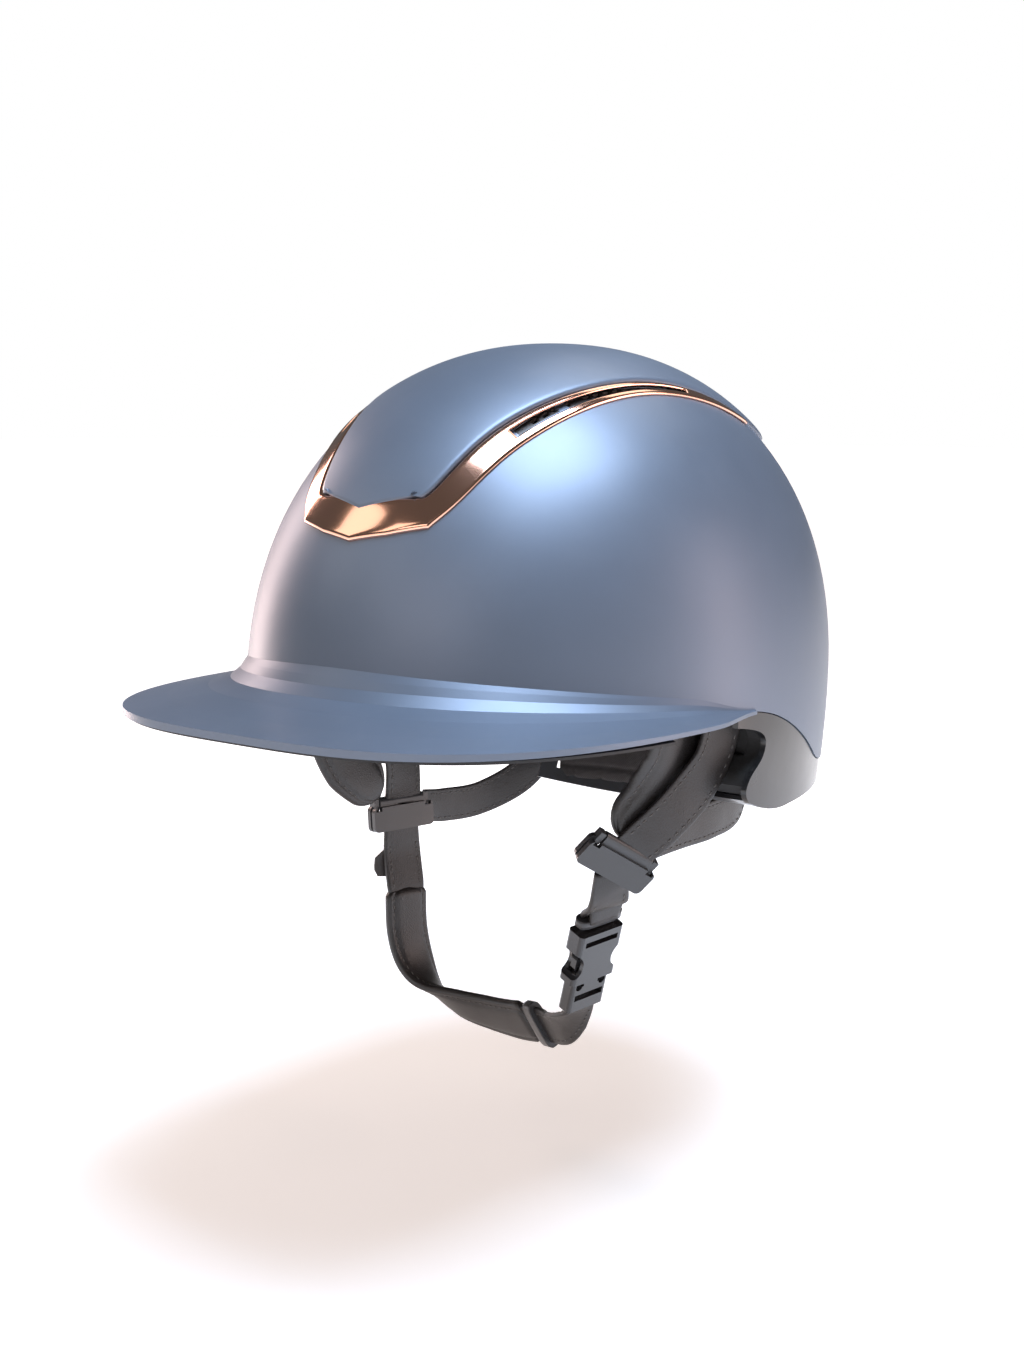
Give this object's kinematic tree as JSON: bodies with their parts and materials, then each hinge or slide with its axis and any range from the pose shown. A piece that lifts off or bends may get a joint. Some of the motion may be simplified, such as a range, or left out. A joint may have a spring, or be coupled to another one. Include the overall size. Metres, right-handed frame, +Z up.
{
  "type": "equestrian riding helmet",
  "caption": "Riding helmet with a wide moulded peak, metallic U-shaped vent trim, padded lining, rear fit dial and a chin harness with a side-release buckle.",
  "frame": {"origin": "centre of the head opening, level with the shell's edge above the ear", "axes": "+Z up through the crown, -Y towards the peak's tip, +X towards the wearer's left"},
  "size_m": [0.2356, 0.3269, 0.3064],
  "materials": {
    "shell_paint": "satin",
    "rose_gold": "polished",
    "black_plastic": "gloss",
    "dark_plastic": "satin",
    "foam": "matte",
    "pad_fabric": "woven",
    "webbing": "woven",
    "leather": "grained",
    "steel": "brushed"
  },
  "bodies": {
    "helmet": {"outer_shell": "shell_paint", "peak_lining": "dark_plastic", "frame_trim": "rose_gold", "top_panel": "shell_paint", "vent_grille_left": "black_plastic", "vent_grille_right": "black_plastic", "nape_guard": "black_plastic", "liner_edge_trim": "black_plastic", "impact_liner": "foam", "occipital_cradle": "dark_plastic", "dial_housing_cover": "dark_plastic", "nape_pad": "pad_fabric", "band_guide_left": "dark_plastic", "band_guide_right": "dark_plastic", "cradle_hanger_left": "dark_plastic", "cradle_hanger_right": "dark_plastic", "strap_front_left": "webbing", "cheek_flap_left": "leather", "strap_rear_left": "webbing", "strap_front_right": "webbing", "cheek_flap_right": "leather", "strap_rear_right": "webbing", "divider_left_base": "dark_plastic", "divider_right_base": "dark_plastic"},
    "brow_pad": {"brow_pad": "pad_fabric"},
    "crown_pad": {"crown_pad": "pad_fabric"},
    "side_pad_left": {"side_pad_left": "pad_fabric"},
    "side_pad_right": {"side_pad_right": "pad_fabric"},
    "fit_dial": {"dial_knob": "dark_plastic", "dial_pinion": "dark_plastic", "dial_screw": "steel"},
    "side_band_left": {"side_band_left": "dark_plastic"},
    "side_band_right": {"side_band_right": "dark_plastic"},
    "divider_latch_left": {"divider_left_latch": "dark_plastic"},
    "divider_latch_right": {"divider_right_latch": "dark_plastic"},
    "chin_left": {"chin_strap_left": "webbing", "buckle_socket": "dark_plastic"},
    "chin_right": {"chin_strap_right": "webbing", "chin_sleeve": "leather", "chin_strap_low": "webbing", "buckle_plug": "dark_plastic"},
    "prong_front": {"buckle_prong_front": "dark_plastic"},
    "prong_rear": {"buckle_prong_rear": "dark_plastic"}
  },
  "joints": [
    {"name": "brow_pad_pull", "type": "slide", "parent": "helmet", "child": "brow_pad", "axis": [0, 1, 0], "range_m": [0, 0.012]},
    {"name": "crown_pad_pull", "type": "slide", "parent": "helmet", "child": "crown_pad", "axis": [0, 0, -1], "range_m": [0, 0.02]},
    {"name": "side_pad_left_pull", "type": "slide", "parent": "helmet", "child": "side_pad_left", "axis": [-1, 0, 0], "range_m": [0, 0.012]},
    {"name": "side_pad_right_pull", "type": "slide", "parent": "helmet", "child": "side_pad_right", "axis": [1, 0, 0], "range_m": [0, 0.012]},
    {"name": "fit_dial_turn", "type": "hinge", "parent": "helmet", "child": "fit_dial", "pos_m": [0, 0.09069, -0.05067], "axis": [0, 0.9336, -0.3584], "range_deg": [-110, 165]},
    {"name": "side_band_left_draw", "type": "hinge", "parent": "helmet", "child": "side_band_left", "pos_m": [0, 0.016, -0.022], "axis": [0, 0.3584, 0.9336], "range_deg": [-8.6, 5.8]},
    {"name": "side_band_right_draw", "type": "hinge", "parent": "helmet", "child": "side_band_right", "pos_m": [0, 0.016, -0.022], "axis": [0, 0.3584, 0.9336], "range_deg": [-5.8, 8.6]},
    {"name": "divider_latch_left_open", "type": "hinge", "parent": "helmet", "child": "divider_latch_left", "pos_m": [0.07894, -0.05086, -0.05203], "axis": [-0.362, -0.7756, 0.5171], "range_deg": [0, 60]},
    {"name": "divider_latch_right_open", "type": "hinge", "parent": "helmet", "child": "divider_latch_right", "pos_m": [-0.07666, -0.00159, -0.06273], "axis": [-0.2402, -0.9707, 0], "range_deg": [0, 60]},
    {"name": "chin_swing", "type": "hinge", "parent": "helmet", "child": "chin_left", "pos_m": [-0.075, -0.002, -0.07], "axis": [0.9441, -0.321, 0.0755], "range_deg": [-15, 15]},
    {"name": "chin_release", "type": "hinge", "parent": "chin_left", "child": "chin_right", "pos_m": [-0.075, -0.002, -0.07], "axis": [0.2446, 0.9653, 0.0913], "range_deg": [0, 60]},
    {"name": "prong_front_press", "type": "hinge", "parent": "chin_right", "child": "prong_front", "pos_m": [0.04372, -0.03396, -0.117], "axis": [-0.9205, 0.2016, 0.3347], "range_deg": [0, 5], "stiffness_Nm_per_rad": 0.05},
    {"name": "prong_rear_press", "type": "hinge", "parent": "chin_right", "child": "prong_rear", "pos_m": [0.0467, -0.02218, -0.11588], "axis": [0.9205, -0.2016, -0.3347], "range_deg": [0, 5]}
  ],
  "couplings": [
    {"joint": "side_band_left_draw", "follows": "fit_dial_turn", "ratio": -0.051282},
    {"joint": "side_band_right_draw", "follows": "fit_dial_turn", "ratio": 0.051282},
    {"joint": "prong_rear_press", "follows": "prong_front_press", "ratio": 1}
  ]
}
